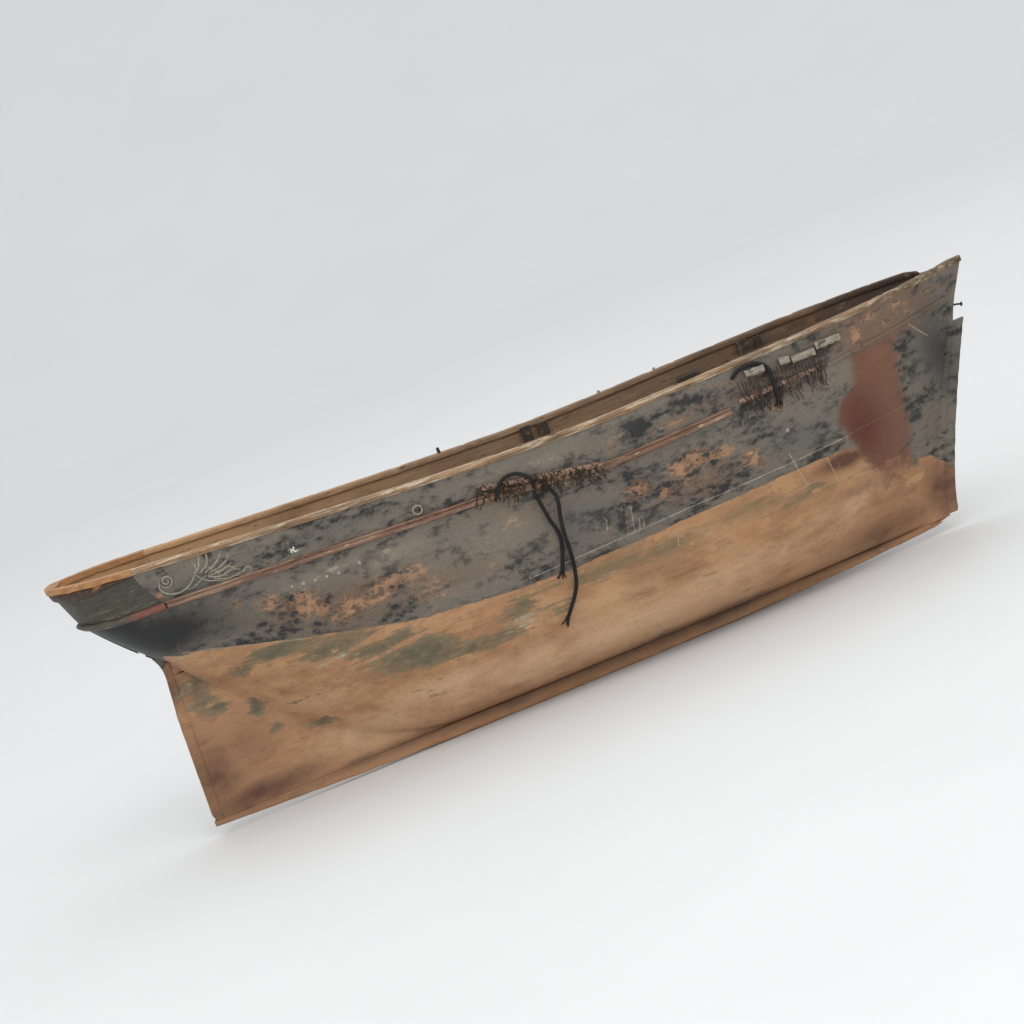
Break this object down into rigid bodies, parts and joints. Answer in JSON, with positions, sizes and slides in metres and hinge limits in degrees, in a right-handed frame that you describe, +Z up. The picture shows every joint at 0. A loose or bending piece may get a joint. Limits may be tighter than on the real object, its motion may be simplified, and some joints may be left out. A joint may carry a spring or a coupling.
{
  "type": "ship model hull",
  "caption": "Old painted wooden hull of a ship model with keel, stacked lifts, bulwarks, capped rails, channels and remains of rigging wires and cords.",
  "frame": {"origin": "middle of the hull's length on the underside of the keel", "axes": "+X to the bow, +Y to port, +Z up, square to the keel"},
  "size_m": [1.0005, 0.2167, 0.31],
  "materials": {
    "black_paint": "old flaking paint",
    "bottom_wood": "bare worn pine",
    "keel_wood": "dark oak",
    "cap_wood": "worn varnish",
    "strake_red": "worn red paint",
    "deck_wood": "dusty bare wood",
    "inner_wood": "dusty bare wood",
    "hold_wood": "rough sawn",
    "batten_wood": "faded paint",
    "pale_wood": "weathered grey",
    "stern_olive": "old flaking paint",
    "gilt": "worn gilt",
    "wire": "rusty",
    "nail": "dull",
    "cord": "tarred hemp"
  },
  "bodies": {
    "root": {"keel": "keel_wood", "cutwater": "black_paint", "sternpost": "keel_wood", "hull_lift_1": "bottom_wood", "hull_lift_2": "bottom_wood", "hull_lift_3": "bottom_wood", "hull_lift_4": "black_paint", "top_lift": "black_paint", "bulwark_starboard": "black_paint", "bulwark_port": "black_paint", "stern_panel": "stern_olive", "stern_moulding": "strake_red", "cap_rail_starboard": "cap_wood", "cap_rail_port": "cap_wood", "taffrail": "cap_wood", "taffrail_moulding": "strake_red", "bow_chock": "inner_wood", "strake_starboard": "strake_red", "strake_port": "strake_red", "bow_moulding_starboard": "black_paint", "bow_moulding_port": "black_paint", "deck": "deck_wood", "deck_beams": "hold_wood", "fore_mast_partner": "deck_wood", "main_mast_partner": "deck_wood", "mizzen_mast_partner": "deck_wood", "fore_mast_step": "hold_wood", "main_mast_step": "hold_wood", "mizzen_mast_step": "hold_wood", "main_channel_starboard": "batten_wood", "main_channel_port": "batten_wood", "fore_channel_starboard": "pale_wood", "fore_channel_port": "pale_wood", "fore_batten_starboard": "batten_wood", "fore_batten_port": "batten_wood", "main_chain_wires": "wire", "fore_chain_wires": "wire", "side_nails": "nail", "ring_bolt": "wire", "bow_nail": "nail", "main_pin_ledge": "inner_wood", "fore_pin_ledge": "inner_wood", "main_posts": "inner_wood", "fore_posts": "inner_wood", "deck_block": "inner_wood", "rail_peg": "inner_wood", "rail_nails": "wire", "quarter_scroll_starboard": "gilt", "quarter_scroll_port": "gilt", "main_strand_short": "cord", "main_strand_long": "cord", "main_loop": "cord", "fore_loop": "cord"}
  },
  "joints": []
}
